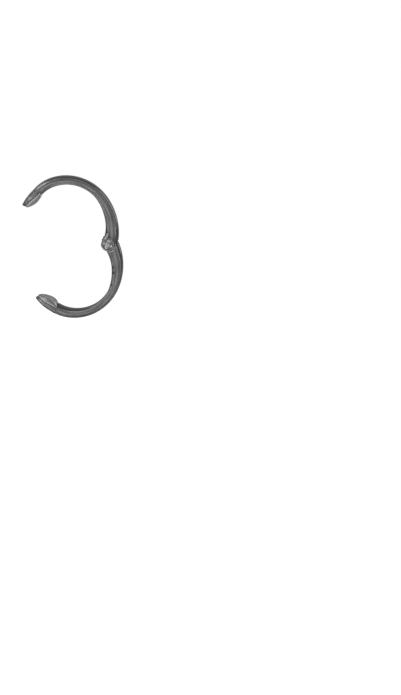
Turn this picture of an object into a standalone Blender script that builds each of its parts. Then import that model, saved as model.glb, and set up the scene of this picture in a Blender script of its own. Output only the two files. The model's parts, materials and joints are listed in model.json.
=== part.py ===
"""Folding purse hook: two claw arms of smoke-grey clear plastic on one rivet.

The hook hangs open as it does in use: the upper claw goes over a table edge or
the fingers, and the lower claw carries the bag's strap. Swinging the lower arm
up brings the two padded tips together into a closed ring.

Lengths are metres. X runs right, Y away from the viewer and Z up. The origin is
the middle of the flat on the upper tip pad, on which the hook hangs.
"""
import math

import bmesh
import bpy
from mathutils import Matrix, Vector

# The closed ring and how the open hook hangs
RING_RADIUS = 0.0365
PIN_INSET = 0.0035
HINGE_FLARE = 0.0037
ROOT_THICKNESS = 0.0117
ARM_WIDTH = 0.0124
CLOSING_SWING = math.radians(60.0)
HANGING_TILT = math.radians(7.6)

# The padded tips
REBATE_DEPTH = 0.0027
PAD_THICKNESS = 0.0044
PAD_GAP = 0.0002
PAD_FLAT_DEPTH = 0.0003
PEG_RADIUS = 0.0013
PEG_LENGTH = 0.0014
PEG_ROOT = 0.0015
PEG_CLEARANCE = 0.00015

# The knuckles of the hinge
KNUCKLE_RADIUS = 0.0050
KNUCKLE_CLEARANCE = 0.0003
TONGUE_THICKNESS = 0.0050
BOSS_RISE = 0.0004
BOSS_EDGE = 0.0003
STOP_GAP = 0.0003
NOTCH_DEPTH = 0.0007
BEAD_RADIUS = 0.00125
BEAD_REACH = 0.0041
BEAD_EDGE = 0.0007
SEAT_BEVEL_RUN = 0.0007
SEAT_BEVEL_DEPTH = 0.0004
RIB_WIDTH = 0.0018
RIB_START = 0.0012
RIB_END = 0.0070
RIB_RISE = 0.0007
RIB_OFFSET = 0.0030

# The rivet and its washers
PIN_RADIUS = 0.0010
BORE_CLEARANCE = 0.0001
HEAD_RADIUS = 0.0015
HEAD_HEIGHT = 0.0007
HEAD_RIM = 0.00023
CAP_RADIUS = 0.0020
CAP_HEIGHT = 0.0010
CAP_RIM = 0.0005
CAP_SOCKET_DEPTH = 0.0005
WASHER_RADIUS = 0.0035
WASHER_SHEET = 0.0003
WAVE_RISE = 0.0003
WAVES = 4
COUNTERBORE_RADIUS = 0.0038
COUNTERBORE_DEPTH = 0.0012
THRUST_RADIUS = 0.0040
THRUST_THICKNESS = 0.0005
FACE_GAP = 0.0002

# Places along an arm, as shares of the half turn from the hinge to the tip
REBATE_SHARE = 0.834
PAD_FLAT_SHARE = 0.899
PEG_SHARE = 0.862
ARM_END_SHARE = 0.9945
PAD_END_SHARE = 0.9970

# Each row: share of the half turn, then shares of the hinge flare, the root
# thickness and the arm's width
GRIP_SHARES = (
    (-0.022, 1.16, 1.028, 1.00),
    (0.033, 0.80, 0.938, 1.00),
    (0.089, 0.54, 0.852, 1.00),
    (0.156, 0.28, 0.768, 1.00),
    (0.233, 0.10, 0.700, 1.00),
    (0.311, 0.04, 0.625, 1.00),
    (0.400, 0.06, 0.544, 0.99),
    (0.500, 0.11, 0.520, 0.98),
    (0.600, 0.17, 0.529, 0.99),
    (0.700, 0.20, 0.567, 1.01),
    (0.778, 0.16, 0.599, 1.06),
    (0.834, 0.06, 0.629, 1.10),
)
# Each row: share of the half turn, then shares of the hinge flare, the wall
# left over the pad's rebate and the arm's width
TIP_SHARES = (
    (0.834, 0.06, 1.01, 1.10),
    (0.867, -0.05, 0.98, 1.11),
    (0.900, -0.05, 0.90, 1.03),
    (0.928, -0.03, 0.79, 0.90),
    (0.950, -0.01, 0.72, 0.74),
    (0.967, 0.00, 0.67, 0.58),
    (0.981, 0.02, 0.63, 0.40),
    (0.9945, 0.04, 0.57, 0.20),
)
# Each row: share of the half turn, then shares of the pad's thickness and the
# arm's width
PAD_SHARES = (
    (0.836, 0.38, 1.04),
    (0.846, 0.58, 1.10),
    (0.867, 0.82, 1.11),
    (0.895, 1.00, 1.05),
    (0.922, 1.07, 0.92),
    (0.944, 1.02, 0.77),
    (0.964, 0.87, 0.60),
    (0.981, 0.66, 0.40),
    (0.997, 0.37, 0.18),
)

# How finely the shapes are drawn
SECTION_POINTS = 24
SECTION_SQUARENESS = 2.8
GRIP_SECTIONS = 36
TIP_SECTIONS = 14
PAD_SECTIONS = 18
ROUND_STEPS = 40
DOME_STEPS = 4
OVERRUN = 0.002

# Where things lie across the hook's width, measured from its middle plane
TONGUE_FACE = TONGUE_THICKNESS / 2
THRUST_INNER_FACE = TONGUE_FACE + FACE_GAP
THRUST_OUTER_FACE = THRUST_INNER_FACE + THRUST_THICKNESS
CHEEK_INNER_FACE = THRUST_OUTER_FACE + FACE_GAP
CHEEK_OUTER_FACE = ARM_WIDTH / 2 + BOSS_RISE
COUNTERBORE_FLOOR = CHEEK_OUTER_FACE - COUNTERBORE_DEPTH
WAVE_TOP = COUNTERBORE_FLOOR + FACE_GAP + WASHER_SHEET + 2 * WAVE_RISE
SHEET_TOP = COUNTERBORE_FLOOR + FACE_GAP + WASHER_SHEET
HEAD_UNDERSIDE = WAVE_TOP + FACE_GAP
CAP_UNDERSIDE = SHEET_TOP + FACE_GAP
SHANK_END = CAP_UNDERSIDE + CAP_SOCKET_DEPTH - FACE_GAP
BORE_RADIUS = PIN_RADIUS + BORE_CLEARANCE
SEAT_RADIUS = KNUCKLE_RADIUS + KNUCKLE_CLEARANCE
PIN_TO_RING_CENTRE = RING_RADIUS - PIN_INSET
CUT_REACH = 3 * RING_RADIUS
PAD_GAP_SHARE = PAD_GAP / (math.pi * RING_RADIUS)


def clear_scene():
    for thing in list(bpy.data.objects):
        bpy.data.objects.remove(thing, do_unlink=True)


def new_collection(name):
    collection = bpy.data.collections.new(name)
    bpy.context.scene.collection.children.link(collection)
    return collection


def new_material(name, colour, roughness, metallic, see_through):
    material = bpy.data.materials.new(name)
    material.use_nodes = True
    shader = material.node_tree.nodes["Principled BSDF"]
    shader.inputs["Base Color"].default_value = (*colour, 1.0)
    shader.inputs["Roughness"].default_value = roughness
    shader.inputs["Metallic"].default_value = metallic
    shader.inputs["Transmission Weight"].default_value = see_through
    return material


def smoke_plastic():
    return new_material("smoke plastic", (0.22, 0.23, 0.23), 0.16, 0.0, 0.6)


def soft_smoke_plastic():
    return new_material("soft smoke plastic", (0.26, 0.27, 0.27), 0.38, 0.0, 0.3)


def bright_steel():
    return new_material("bright steel", (0.62, 0.62, 0.61), 0.24, 1.0, 0.0)


def dark_spring_steel():
    return new_material("dark spring steel", (0.30, 0.30, 0.30), 0.28, 1.0, 0.0)


def slip_plastic():
    return new_material("slip plastic", (0.70, 0.70, 0.68), 0.45, 0.0, 0.0)


def smooth_value(rows, place, column):
    """Value of a table's column at a place along it, on a smooth curve."""
    last = len(rows) - 1
    index = 0
    while index < last - 1 and place > rows[index + 1][0]:
        index += 1

    def slope(at):
        low = max(at - 1, 0)
        high = min(at + 1, last)
        return (rows[high][column] - rows[low][column]) / (rows[high][0] - rows[low][0])

    start, end = rows[index], rows[index + 1]
    span = end[0] - start[0]
    t = (place - start[0]) / span
    from_start = (1 + 2 * t) * (1 - t) ** 2 * start[column] + t * (1 - t) ** 2 * span * slope(index)
    from_end = t * t * (3 - 2 * t) * end[column] + t * t * (t - 1) * span * slope(index + 1)
    return from_start + from_end


def arm_point(turn_share, radius, across):
    """A point in an arm's own frame: pin at zero, +X outwards, +Z along the arm."""
    angle = math.pi * turn_share
    return Vector((radius * math.cos(angle) - PIN_TO_RING_CENTRE, across, radius * math.sin(angle)))


def section(turn_share, outer_radius, inner_radius, width):
    """One rounded section of an arm or a pad, square to the ring."""
    middle = (outer_radius + inner_radius) / 2
    half_thickness = (outer_radius - inner_radius) / 2
    power = 2 / SECTION_SQUARENESS
    points = []
    for step in range(SECTION_POINTS):
        angle = 2 * math.pi * step / SECTION_POINTS
        out = math.copysign(abs(math.cos(angle)) ** power, math.cos(angle))
        side = math.copysign(abs(math.sin(angle)) ** power, math.sin(angle))
        points.append(arm_point(turn_share, middle + half_thickness * out, width / 2 * side))
    return points


def loft(sections, closed_ring=False):
    """A closed mesh through sections with equal numbers of points."""
    shape = bmesh.new()
    rings = [[shape.verts.new(point) for point in points] for points in sections]
    count = len(rings[0])
    pairs = list(zip(rings, rings[1:]))
    if closed_ring:
        pairs.append((rings[-1], rings[0]))
    else:
        shape.faces.new(rings[0])
        shape.faces.new(rings[-1][::-1])
    for near, far in pairs:
        for index in range(count):
            following = (index + 1) % count
            shape.faces.new((near[index], far[index], far[following], near[following]))
    bmesh.ops.recalc_face_normals(shape, faces=shape.faces)
    mesh = bpy.data.meshes.new("loft")
    shape.to_mesh(mesh)
    shape.free()
    return mesh


def facing(mesh, along):
    """The mesh as drawn for the upper arm, or turned over, +Z to -Z, for the lower."""
    if along > 0:
        return mesh
    shape = bmesh.new()
    shape.from_mesh(mesh)
    bmesh.ops.transform(shape, matrix=Matrix.Scale(-1, 4, (0, 0, 1)), verts=shape.verts)
    bmesh.ops.reverse_faces(shape, faces=shape.faces)
    shape.to_mesh(mesh)
    shape.free()
    return mesh


def add_object(name, mesh, collection):
    thing = bpy.data.objects.new(name, mesh)
    collection.objects.link(thing)
    return thing


def disc_mesh(radius, low, high, centre=(0.0, 0.0), edge=0.0):
    """A round bar along Y between two places, with chamfered edges if asked."""
    steps = [(radius, low), (radius, high)]
    if edge > 0:
        steps = [(radius - edge, low), (radius, low + edge), (radius, high - edge), (radius - edge, high)]
    sections = []
    for ring_radius, place in steps:
        ring = []
        for step in range(ROUND_STEPS):
            angle = 2 * math.pi * step / ROUND_STEPS
            ring.append(Vector((centre[0] + ring_radius * math.cos(angle), place,
                                centre[1] + ring_radius * math.sin(angle))))
        sections.append(ring)
    return loft(sections)


def box_mesh(low, high):
    shape = bmesh.new()
    bmesh.ops.create_cube(shape, size=1)
    size = [b - a for a, b in zip(low, high)]
    middle = [(a + b) / 2 for a, b in zip(low, high)]
    scale = Matrix.Diagonal((*size, 1))
    bmesh.ops.transform(shape, matrix=Matrix.Translation(middle) @ scale, verts=shape.verts)
    mesh = bpy.data.meshes.new("box")
    shape.to_mesh(mesh)
    shape.free()
    return mesh


def slab_mesh(outline, half_width):
    """A flat outline in X and Z, as thick as the arm is wide."""
    shape = bmesh.new()
    near = [shape.verts.new((x, -half_width, z)) for x, z in outline]
    far = [shape.verts.new((x, half_width, z)) for x, z in outline]
    shape.faces.new(near)
    shape.faces.new(far[::-1])
    for index in range(len(outline)):
        following = (index + 1) % len(outline)
        shape.faces.new((near[index], far[index], far[following], near[following]))
    bmesh.ops.recalc_face_normals(shape, faces=shape.faces)
    mesh = bpy.data.meshes.new("slab")
    shape.to_mesh(mesh)
    shape.free()
    return mesh


def turned(name, profile, collection):
    """A body turned about Y from a profile of (radius, place), near end first."""
    mesh = bpy.data.meshes.new(name)
    points = [(radius, 0.0, -place) for radius, place in profile]
    mesh.from_pydata(points, [(i, i + 1) for i in range(len(points) - 1)], [])
    thing = add_object(name, mesh, collection)
    screw = thing.modifiers.new("turn", "SCREW")
    screw.steps = ROUND_STEPS
    screw.render_steps = ROUND_STEPS
    screw.use_merge_vertices = True
    screw.merge_threshold = 0.00001
    screw.use_smooth_shade = True
    thing.rotation_euler.x = math.radians(90)
    return thing


def combine(target, mesh, operation, cutters):
    """Adds or cuts a shape with a Boolean that stays on the target."""
    tool = add_object(target.name + "_tool_" + str(len(target.modifiers)), mesh, cutters)
    tool.hide_render = True
    tool.display_type = "WIRE"
    tool.parent = target.parent
    boolean = target.modifiers.new("shape", "BOOLEAN")
    boolean.operation = operation
    boolean.object = tool
    return tool


def shade(thing, material):
    thing.data.shade_smooth()
    thing.data.set_sharp_from_angle(angle=math.radians(40))
    thing.data.materials.append(material)


def rebate_wall():
    """Wall that stays over the pad where its rebate starts."""
    return ROOT_THICKNESS * GRIP_SHARES[-1][2] - REBATE_DEPTH


def joint_radius(turn_share):
    """Ring radius of the line where a pad meets its arm."""
    outer = RING_RADIUS + HINGE_FLARE * smooth_value(TIP_SHARES, turn_share, 1)
    return outer - rebate_wall() * smooth_value(TIP_SHARES, turn_share, 2)


def arm_mesh():
    """The whole claw, from past the hinge to the tip, before its hinge is cut."""
    sections = []
    first = GRIP_SHARES[0][0]
    for step in range(GRIP_SECTIONS):
        place = first + (REBATE_SHARE - first) * step / (GRIP_SECTIONS - 1)
        outer = RING_RADIUS + HINGE_FLARE * smooth_value(GRIP_SHARES, place, 1)
        inner = outer - ROOT_THICKNESS * smooth_value(GRIP_SHARES, place, 2)
        width = ARM_WIDTH * smooth_value(GRIP_SHARES, place, 3)
        sections.append(section(place, outer, inner, width))
    start = REBATE_SHARE + PAD_GAP_SHARE
    for step in range(TIP_SECTIONS):
        place = start + (ARM_END_SHARE - start) * step / (TIP_SECTIONS - 1)
        outer = RING_RADIUS + HINGE_FLARE * smooth_value(TIP_SHARES, place, 1)
        width = ARM_WIDTH * smooth_value(TIP_SHARES, place, 3)
        sections.append(section(place, outer, joint_radius(place), width))
    return loft(sections)


def far_side_outline():
    """Outline of everything beyond an arm's two stop faces, seen along the pin.

    The inner face lies on the closed ring's parting line, and the outer face on
    the line where the open arms butt, each drawn back by half the stop gap.
    """
    half_gap = STOP_GAP / 2
    lean = CLOSING_SWING / 2
    along = Vector((math.cos(lean), math.sin(lean)))
    across = Vector((-math.sin(lean), math.cos(lean)))
    corner_x = (half_gap * math.cos(lean) - half_gap) / math.sin(lean)
    outer_reach = RING_RADIUS + HINGE_FLARE * smooth_value(GRIP_SHARES, 0.0, 1) - PIN_TO_RING_CENTRE
    notch = along * (outer_reach - NOTCH_DEPTH) + across * half_gap
    notch_end = notch + (along + across) * (2 * NOTCH_DEPTH)
    return (
        (corner_x, half_gap),
        (-CUT_REACH, half_gap),
        (-CUT_REACH, -CUT_REACH),
        (CUT_REACH, -CUT_REACH),
        (CUT_REACH, notch_end.y),
        (notch_end.x, notch_end.y),
        (notch.x, notch.y),
    )


def shape_arm(name, parent, parts, cutters, along):
    """An arm with stop faces, knuckle bead, pad rebate and peg hole."""
    arm = add_object(name, facing(arm_mesh(), along), parts)
    arm.parent = parent
    far_side = slab_mesh(far_side_outline(), CHEEK_OUTER_FACE + OVERRUN)
    combine(arm, facing(far_side, along), "DIFFERENCE", cutters)
    bead_end = ARM_WIDTH / 2 - BEAD_EDGE
    combine(arm, facing(bead_mesh(BEAD_RADIUS, -bead_end, bead_end, BEAD_EDGE), along), "UNION", cutters)
    hole = peg_mesh(PEG_RADIUS + PEG_CLEARANCE, PEG_LENGTH + PEG_CLEARANCE)
    combine(arm, facing(hole, along), "DIFFERENCE", cutters)
    return arm


def bead_mesh(radius, low, high, edge=0.0):
    """A bar along the pin on the line of an arm's knuckle bead."""
    return disc_mesh(radius, low, high, (-BEAD_REACH, STOP_GAP / 2 + BEAD_RADIUS), edge)


def peg_mesh(radius, length):
    """A peg square to the ring, rooted in the pad and standing out of its back."""
    joint = joint_radius(PEG_SHARE)
    low = arm_point(PEG_SHARE, joint - PEG_ROOT, 0.0)
    high = arm_point(PEG_SHARE, joint + length, 0.0)
    shape = bmesh.new()
    bmesh.ops.create_cone(shape, cap_ends=True, segments=ROUND_STEPS // 2, radius1=radius,
                          radius2=radius, depth=(high - low).length)
    aim = (high - low).to_track_quat("Z", "Y").to_matrix().to_4x4()
    bmesh.ops.transform(shape, matrix=Matrix.Translation((low + high) / 2) @ aim, verts=shape.verts)
    mesh = bpy.data.meshes.new("peg")
    shape.to_mesh(mesh)
    shape.free()
    return mesh


def rib_mesh(side):
    """A round-ended rib on a cheek, along the arm, its top sloping towards the pads."""
    sections = []
    for top in (False, True):
        outline = []
        for step in range(ROUND_STEPS // 2):
            angle = 2 * math.pi * (step + 0.5) / (ROUND_STEPS // 2)
            across = math.cos(angle) / 2
            end = RIB_END if math.sin(angle) > 0 else RIB_START
            place = CHEEK_OUTER_FACE + RIB_RISE * across if top else CHEEK_INNER_FACE
            outline.append(Vector((RIB_WIDTH * across - RIB_OFFSET, side * place,
                                   RIB_WIDTH / 2 * math.sin(angle) + end)))
        sections.append(outline)
    return loft(sections)


def seat_mesh(side):
    """The open seat that a cheek turns in, bevelled where it comes out of the arm."""
    start = ARM_WIDTH / 2 - SEAT_BEVEL_DEPTH
    end = CHEEK_OUTER_FACE + OVERRUN
    mouth = SEAT_RADIUS + (end - start) * SEAT_BEVEL_RUN / SEAT_BEVEL_DEPTH
    sections = []
    for radius, place in ((SEAT_RADIUS, TONGUE_FACE), (SEAT_RADIUS, start), (mouth, end)):
        ring = []
        for step in range(ROUND_STEPS):
            angle = 2 * math.pi * step / ROUND_STEPS
            ring.append(Vector((radius * math.cos(angle), side * place, radius * math.sin(angle))))
        sections.append(ring)
    return loft(sections)


def make_upper_arm(parent, parts, cutters):
    """Forked arm: two cheeks, each with a bead, either side of the lower arm's tongue."""
    arm = shape_arm("upper_arm", parent, parts, cutters, 1)
    knuckle = disc_mesh(KNUCKLE_RADIUS, -CHEEK_OUTER_FACE, CHEEK_OUTER_FACE, edge=BOSS_EDGE)
    combine(arm, knuckle, "UNION", cutters)
    for side in (-1, 1):
        combine(arm, rib_mesh(side), "UNION", cutters)
    combine(arm, disc_mesh(SEAT_RADIUS, -CHEEK_INNER_FACE, CHEEK_INNER_FACE), "DIFFERENCE", cutters)
    bead_slot = bead_mesh(BEAD_RADIUS + KNUCKLE_CLEARANCE, -CHEEK_INNER_FACE, CHEEK_INNER_FACE)
    combine(arm, bead_slot, "DIFFERENCE", cutters)
    combine(arm, disc_mesh(BORE_RADIUS, -ARM_WIDTH, ARM_WIDTH), "DIFFERENCE", cutters)
    for side in (-1, 1):
        low, high = sorted((side * COUNTERBORE_FLOOR, side * (CHEEK_OUTER_FACE + OVERRUN)))
        combine(arm, disc_mesh(COUNTERBORE_RADIUS, low, high), "DIFFERENCE", cutters)
    shade(arm, smoke_plastic())
    return arm


def make_lower_arm(parent, parts, cutters):
    """Arm with a single tongue that turns between the upper arm's cheeks."""
    arm = shape_arm("lower_arm", parent, parts, cutters, -1)
    combine(arm, disc_mesh(KNUCKLE_RADIUS, -CHEEK_INNER_FACE, CHEEK_INNER_FACE), "UNION", cutters)
    for side in (-1, 1):
        combine(arm, seat_mesh(side), "DIFFERENCE", cutters)
        low, high = sorted((side * TONGUE_FACE, side * ARM_WIDTH))
        beside_tongue = bead_mesh(BEAD_RADIUS + KNUCKLE_CLEARANCE, low, high)
        combine(arm, facing(beside_tongue, -1), "DIFFERENCE", cutters)
    combine(arm, disc_mesh(BORE_RADIUS, -ARM_WIDTH, ARM_WIDTH), "DIFFERENCE", cutters)
    shade(arm, smoke_plastic())
    return arm


def pad_flat_radius():
    """Ring radius of the flat on a pad, a little inside its crown."""
    crown = joint_radius(PAD_FLAT_SHARE) - PAD_THICKNESS * smooth_value(PAD_SHARES, PAD_FLAT_SHARE, 1)
    return crown + PAD_FLAT_DEPTH


def make_tip_pad(name, parent, parts, cutters, along):
    """Leaf-shaped soft pad with a flat face and a peg on its back."""
    sections = []
    start = REBATE_SHARE + 2 * PAD_GAP_SHARE
    for step in range(PAD_SECTIONS):
        place = start + (PAD_END_SHARE - start) * step / (PAD_SECTIONS - 1)
        joint = joint_radius(min(place, ARM_END_SHARE))
        thickness = PAD_THICKNESS * smooth_value(PAD_SHARES, place, 1)
        width = ARM_WIDTH * smooth_value(PAD_SHARES, place, 2)
        sections.append(section(place, joint - PAD_GAP, joint - thickness, width))
    pad = add_object(name, facing(loft(sections), along), parts)
    pad.parent = parent
    combine(pad, facing(peg_mesh(PEG_RADIUS, PEG_LENGTH), along), "UNION", cutters)
    flat = arm_point(PAD_FLAT_SHARE, pad_flat_radius(), 0.0)
    cut = box_mesh((-PAD_THICKNESS, -ARM_WIDTH, -ARM_WIDTH), (0.0, ARM_WIDTH, ARM_WIDTH))
    turn = Matrix.Rotation(-math.pi * PAD_FLAT_SHARE, 4, "Y")
    cut.transform(Matrix.Translation(flat) @ turn)
    combine(pad, facing(cut, along), "DIFFERENCE", cutters)
    shade(pad, soft_smoke_plastic())
    return pad


def dome_points(radius, edge_place, crown_place):
    """Points of a dome's profile, from its crown on the axis to its edge."""
    points = [(0.0, crown_place)]
    for step in range(1, DOME_STEPS):
        angle = math.radians(90) * step / DOME_STEPS
        points.append((radius * math.sin(angle),
                       edge_place + (crown_place - edge_place) * math.cos(angle)))
    points.append((radius, edge_place))
    return points


def make_hinge_pin(parent, parts):
    """Shank with a low domed head on the near side."""
    profile = dome_points(HEAD_RADIUS, -HEAD_UNDERSIDE - HEAD_RIM, -HEAD_UNDERSIDE - HEAD_HEIGHT)
    profile += [(HEAD_RADIUS, -HEAD_UNDERSIDE), (PIN_RADIUS, -HEAD_UNDERSIDE),
                (PIN_RADIUS, SHANK_END), (0.0, SHANK_END)]
    pin = turned("hinge_pin", profile, parts)
    pin.parent = parent
    shade(pin, bright_steel())
    return pin


def make_rivet_cap(parent, parts):
    """Cap closed over the shank's far end."""
    socket_end = SHANK_END + FACE_GAP
    dome = dome_points(CAP_RADIUS, CAP_UNDERSIDE + CAP_RIM, CAP_UNDERSIDE + CAP_HEIGHT)
    profile = [(0.0, socket_end), (BORE_RADIUS, socket_end), (BORE_RADIUS, CAP_UNDERSIDE),
               (CAP_RADIUS, CAP_UNDERSIDE)] + dome[::-1]
    cap = turned("rivet_cap", profile, parts)
    cap.parent = parent
    shade(cap, bright_steel())
    return cap


def flat_ring(name, inner, outer, low, high, material, parent, parts):
    """A flat washer between two places along the pin."""
    profile = [(inner, low), (outer, low), (outer, high), (inner, high), (inner, low)]
    ring = turned(name, profile, parts)
    ring.parent = parent
    shade(ring, material)
    return ring


def make_wave_washer(parent, parts):
    """Springy waved washer that keeps the hinge stiff."""
    sections = []
    steps = ROUND_STEPS + ROUND_STEPS // 2
    middle = -(COUNTERBORE_FLOOR + FACE_GAP + WASHER_SHEET / 2 + WAVE_RISE)
    for step in range(steps):
        angle = 2 * math.pi * step / steps
        rise = WAVE_RISE * math.cos(WAVES * angle)
        ring_section = []
        for radius, side in ((BORE_RADIUS, -1), (WASHER_RADIUS, -1), (WASHER_RADIUS, 1), (BORE_RADIUS, 1)):
            ring_section.append(Vector((radius * math.cos(angle),
                                        middle + rise + side * WASHER_SHEET / 2,
                                        radius * math.sin(angle))))
        sections.append(ring_section)
    washer = add_object("wave_washer", loft(sections, closed_ring=True), parts)
    washer.parent = parent
    shade(washer, dark_spring_steel())
    return washer


def make_hinge_hardware(parent, parts):
    make_hinge_pin(parent, parts)
    make_rivet_cap(parent, parts)
    make_wave_washer(parent, parts)
    flat_ring("plain_washer", BORE_RADIUS, WASHER_RADIUS, COUNTERBORE_FLOOR + FACE_GAP, SHEET_TOP,
              bright_steel(), parent, parts)
    flat_ring("thrust_washer_near", BORE_RADIUS, THRUST_RADIUS, -THRUST_OUTER_FACE,
              -THRUST_INNER_FACE, slip_plastic(), parent, parts)
    flat_ring("thrust_washer_far", BORE_RADIUS, THRUST_RADIUS, THRUST_INNER_FACE,
              THRUST_OUTER_FACE, slip_plastic(), parent, parts)


def make_frames(parts):
    """Empties: the hinge axis, and on it one frame for each arm."""
    lean = CLOSING_SWING / 2
    upper_turn = Matrix.Rotation(lean - HANGING_TILT, 4, "Y")
    hang_point = upper_turn @ arm_point(PAD_FLAT_SHARE, pad_flat_radius(), 0.0)
    hinge = add_object("hinge_axis", None, parts)
    hinge.location = -hang_point
    upper = add_object("upper_frame", None, parts)
    upper.parent = hinge
    upper.rotation_euler.y = lean - HANGING_TILT
    lower = add_object("lower_frame", None, parts)
    lower.parent = hinge
    lower.rotation_euler.y = -lean - HANGING_TILT
    return upper, lower


def main():
    clear_scene()
    parts = new_collection("purse_hook")
    cutters = new_collection("cutters")
    upper, lower = make_frames(parts)
    make_upper_arm(upper, parts, cutters)
    make_tip_pad("upper_tip_pad", upper, parts, cutters, 1)
    make_lower_arm(lower, parts, cutters)
    make_tip_pad("lower_tip_pad", lower, parts, cutters, -1)
    make_hinge_hardware(upper, parts)


main()
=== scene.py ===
"""Folding purse hook, hanging open with its hinge to the right.

Two claw arms of clear smoke-grey plastic turn on one steel rivet. Each has a
soft pad pegged to the inner side of its tip. The sections below follow the hook
as it is put together: arms, pads, slip washers, wave washer, rivet, cap.
"""
import json
import math

import bmesh
import bpy
from mathutils import Matrix, Vector


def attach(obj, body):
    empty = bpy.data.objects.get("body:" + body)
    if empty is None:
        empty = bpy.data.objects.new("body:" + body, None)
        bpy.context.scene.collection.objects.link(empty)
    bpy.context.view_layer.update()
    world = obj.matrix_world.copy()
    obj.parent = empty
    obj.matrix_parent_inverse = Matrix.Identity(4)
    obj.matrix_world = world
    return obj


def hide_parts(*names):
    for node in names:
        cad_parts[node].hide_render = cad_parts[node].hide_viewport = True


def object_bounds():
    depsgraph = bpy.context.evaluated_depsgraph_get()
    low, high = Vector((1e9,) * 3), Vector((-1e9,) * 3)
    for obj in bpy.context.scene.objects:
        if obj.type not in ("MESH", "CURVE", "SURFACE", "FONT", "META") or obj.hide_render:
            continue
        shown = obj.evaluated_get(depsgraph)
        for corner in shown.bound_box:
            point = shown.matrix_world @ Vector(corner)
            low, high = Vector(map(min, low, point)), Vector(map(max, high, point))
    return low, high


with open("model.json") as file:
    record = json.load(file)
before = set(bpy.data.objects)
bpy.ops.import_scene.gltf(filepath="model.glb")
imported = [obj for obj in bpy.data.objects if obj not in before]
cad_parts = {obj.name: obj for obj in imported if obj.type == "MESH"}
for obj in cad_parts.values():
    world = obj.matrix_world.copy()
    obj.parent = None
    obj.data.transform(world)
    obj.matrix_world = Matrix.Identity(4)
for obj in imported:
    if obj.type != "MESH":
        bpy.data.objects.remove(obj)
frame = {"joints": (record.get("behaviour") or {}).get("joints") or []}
cad_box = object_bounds()

# Upper arm. One injection moulding in clear smoke-grey plastic: a claw that tapers
# from the hinge to a flat tip, with a shallow channel down each side and a forked
# knuckle. Its form comes from two polished mould halves that meet down its middle.
PIN_PLACE = Vector(frame["joints"][0]["pos_m"])
CLOSING_SWING = math.radians(frame["joints"][0]["range_deg"][1])
HANGING_TILT = math.radians(7.6)
RING_RADIUS = 0.0365
RING_HALF_TURN = math.pi * RING_RADIUS
PIN_TO_RING_CENTRE = 0.0330
HINGE_FLARE = 0.0037
ROOT_THICKNESS = 0.0117
ARM_WIDTH = 0.0124
REBATE_DEPTH = 0.0027
REBATE_SHARE = 0.834
ARM_END_SHARE = 0.9945
PAD_GAP = 0.0002
# Each row: share of the half turn, then shares of the hinge flare, the root
# thickness and the arm's width
GRIP_SHARES = (
    (-0.022, 1.16, 1.028, 1.00),
    (0.033, 0.80, 0.938, 1.00),
    (0.089, 0.54, 0.852, 1.00),
    (0.156, 0.28, 0.768, 1.00),
    (0.233, 0.10, 0.700, 1.00),
    (0.311, 0.04, 0.625, 1.00),
    (0.400, 0.06, 0.544, 0.99),
    (0.500, 0.11, 0.520, 0.98),
    (0.600, 0.17, 0.529, 0.99),
    (0.700, 0.20, 0.567, 1.01),
    (0.778, 0.16, 0.599, 1.06),
    (0.834, 0.06, 0.629, 1.10),
)
# Each row: share of the half turn, then shares of the hinge flare, the wall over
# the pad's rebate and the arm's width
TIP_SHARES = (
    (0.834, 0.06, 1.01, 1.10),
    (0.867, -0.05, 0.98, 1.11),
    (0.900, -0.05, 0.90, 1.03),
    (0.928, -0.03, 0.79, 0.90),
    (0.950, -0.01, 0.72, 0.74),
    (0.967, 0.00, 0.67, 0.58),
    (0.981, 0.02, 0.63, 0.40),
    (0.9945, 0.04, 0.57, 0.20),
)
SECTION_POINTS = 60
SECTION_SQUARENESS = 2.8
SEAM_SQUARENESS = 14.0
GRIP_SECTIONS = 90
TIP_SECTIONS = 36
TIP_ROUND = 0.0008
TIP_ROUND_STEPS = 5
# The most of half a section that the rounding of an end takes
TIP_ROUND_MOST = 0.85
CHANNEL_DEPTH = 0.0007
CHANNEL_INNER_SHARE = -0.52
CHANNEL_OUTER_SHARE = 0.60
CHANNEL_RAMP_SHARE = 0.24
# Shares of the half turn where the channel starts, is full, fades and has ended
CHANNEL_PLACES = (0.09, 0.17, 0.93, 0.985)
KNUCKLE_RADIUS = 0.0050
SEAT_RADIUS = 0.0053
CHEEK_INNER_FACE = 0.0034
CHEEK_OUTER_FACE = 0.0066
BOSS_EDGE = 0.0003
BORE_RADIUS = 0.0011
COUNTERBORE_RADIUS = 0.0038
COUNTERBORE_DEPTH = 0.0012
STOP_GAP = 0.0003
NOTCH_DEPTH = 0.0007
BEAD_RADIUS = 0.00125
BEAD_REACH = 0.0041
BEAD_EDGE = 0.0007
RIB_WIDTH = 0.0018
RIB_START = 0.0012
RIB_END = 0.0070
RIB_RISE = 0.0007
RIB_OFFSET = 0.0030
PEG_SHARE = 0.862
PEG_RADIUS = 0.0013
PEG_LENGTH = 0.0014
PEG_ROOT = 0.0015
PEG_CLEARANCE = 0.00015
ROUND_STEPS = 72
OVERRUN = 0.002
CREASE_ANGLE = math.radians(35.0)


def smooth_value(rows, place, column):
    """Value of a table's column at a place along it, on a smooth curve."""
    last = len(rows) - 1
    index = 0
    while index < last - 1 and place > rows[index + 1][0]:
        index += 1

    def slope(at):
        low = max(at - 1, 0)
        high = min(at + 1, last)
        return (rows[high][column] - rows[low][column]) / (rows[high][0] - rows[low][0])

    start, end = rows[index], rows[index + 1]
    span = end[0] - start[0]
    t = (place - start[0]) / span
    from_start = (1 + 2 * t) * (1 - t) ** 2 * start[column] + t * (1 - t) ** 2 * span * slope(index)
    from_end = t * t * (3 - 2 * t) * end[column] + t * t * (t - 1) * span * slope(index + 1)
    return from_start + from_end


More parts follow.
